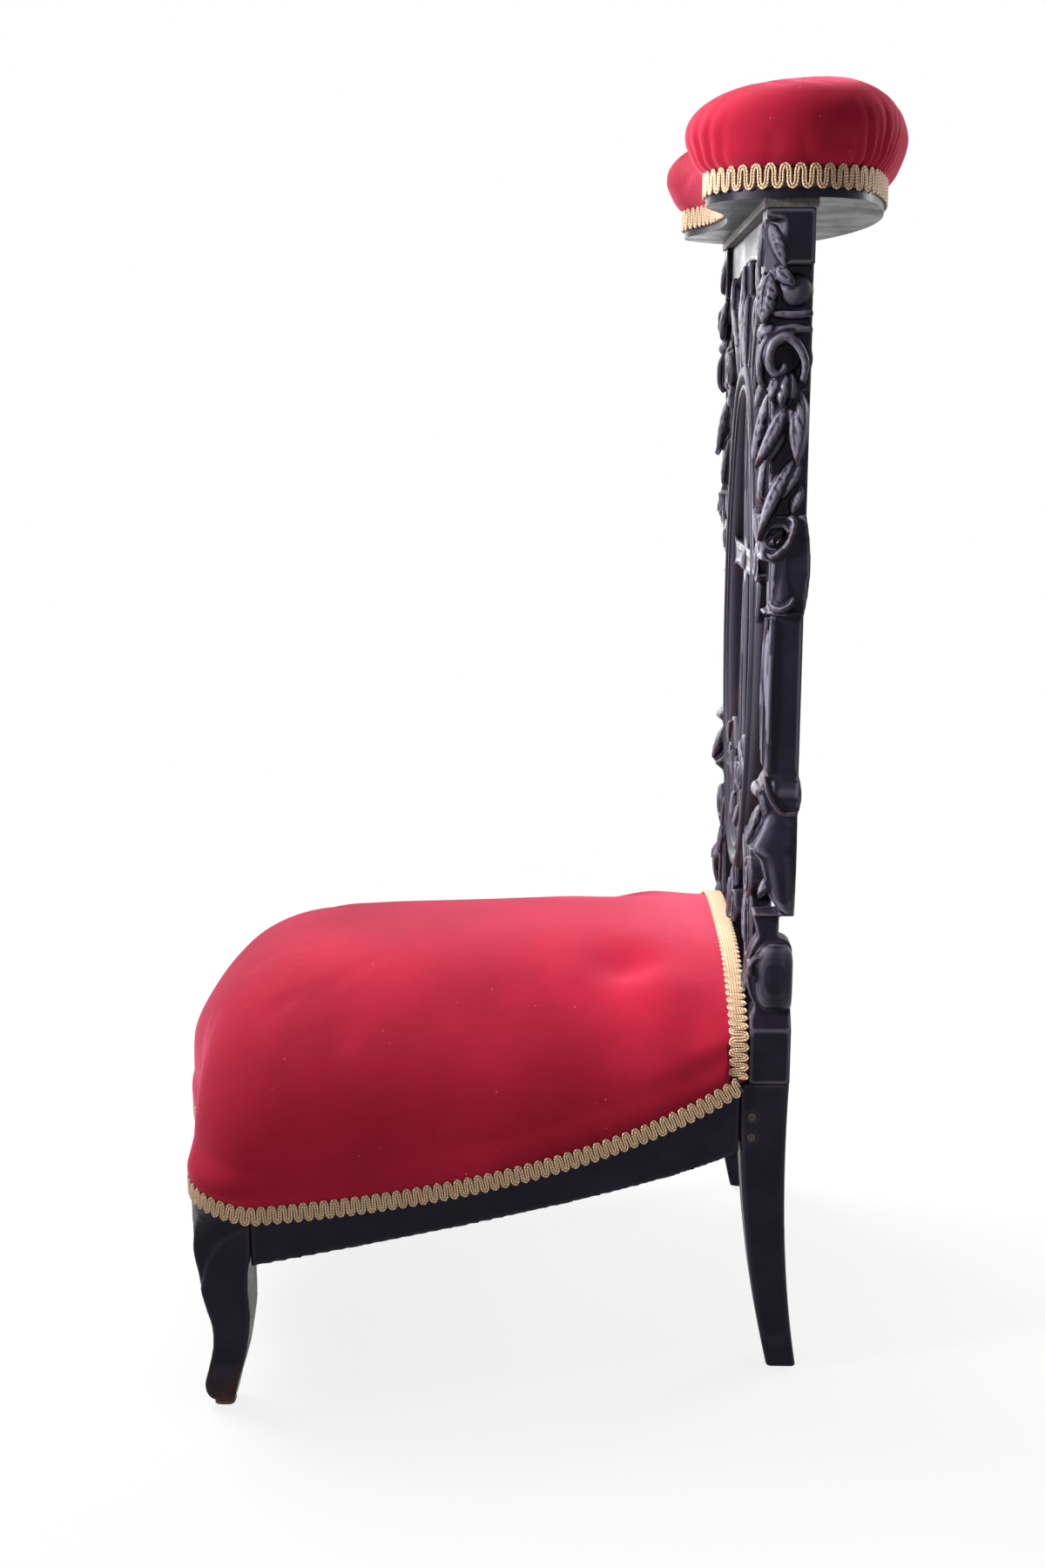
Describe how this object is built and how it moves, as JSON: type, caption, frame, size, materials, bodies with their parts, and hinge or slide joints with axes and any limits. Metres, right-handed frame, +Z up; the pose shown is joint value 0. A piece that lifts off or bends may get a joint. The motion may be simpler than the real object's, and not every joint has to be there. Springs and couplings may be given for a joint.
{
  "type": "prie-dieu chair",
  "caption": "Low kneeling chair with a stuffed velvet seat, a tall carved back pierced by an oval with a cross, and a padded kidney armrest on top.",
  "frame": {"origin": "on the floor under the middle of the chair's bounding box", "axes": "+Z up, -Y towards the kneeling side (front of the seat), +X to the right of a person kneeling"},
  "size_m": [0.483, 0.5525, 0.931],
  "materials": {
    "ebonised_wood": "ebonised and waxed",
    "worn_wood": "thinly stained",
    "plain_wood": "unfinished",
    "velvet": "short pile velvet",
    "gimp_braid": "looped gimp braid",
    "stuffing": "curled hair",
    "hessian": "plain weave",
    "webbing": "jute web",
    "tack_iron": "blued",
    "glide_leather": "worn"
  },
  "bodies": {
    "root": {"armrest_board": "ebonised_wood", "armrest_braid": "gimp_braid", "armrest_cleat": "worn_wood", "armrest_cover": "velvet", "armrest_dowels": "plain_wood", "armrest_stuffing": "stuffing", "back_crest": "ebonised_wood", "back_cross": "ebonised_wood", "back_middle_foot": "ebonised_wood", "back_oval_frame": "ebonised_wood", "back_stile_left": "ebonised_wood", "back_stile_right": "ebonised_wood", "back_top_rail": "ebonised_wood", "corner_block_front_left": "plain_wood", "corner_block_front_right": "plain_wood", "corner_block_rear_left": "plain_wood", "corner_block_rear_right": "plain_wood", "foot_glides": "glide_leather", "front_leg_left": "ebonised_wood", "front_leg_right": "ebonised_wood", "front_seat_rail": "ebonised_wood", "inner_scroll_left": "ebonised_wood", "inner_scroll_right": "ebonised_wood", "lower_scroll_left": "ebonised_wood", "lower_scroll_right": "ebonised_wood", "rail_pegs": "plain_wood", "rear_leg_left": "ebonised_wood", "rear_leg_right": "ebonised_wood", "rear_seat_rail": "ebonised_wood", "seat_braid": "gimp_braid", "seat_cover": "velvet", "seat_hessian": "hessian", "seat_rear_braid": "gimp_braid", "seat_stuffing": "stuffing", "side_scroll_left": "ebonised_wood", "side_scroll_right": "ebonised_wood", "side_seat_rail_left": "ebonised_wood", "side_seat_rail_right": "ebonised_wood", "stile_dowels": "plain_wood", "upper_scroll_left": "ebonised_wood", "upper_scroll_right": "ebonised_wood", "webbing_crosswise": "webbing", "webbing_lengthwise": "webbing", "webbing_tacks": "tack_iron"}
  },
  "joints": []
}
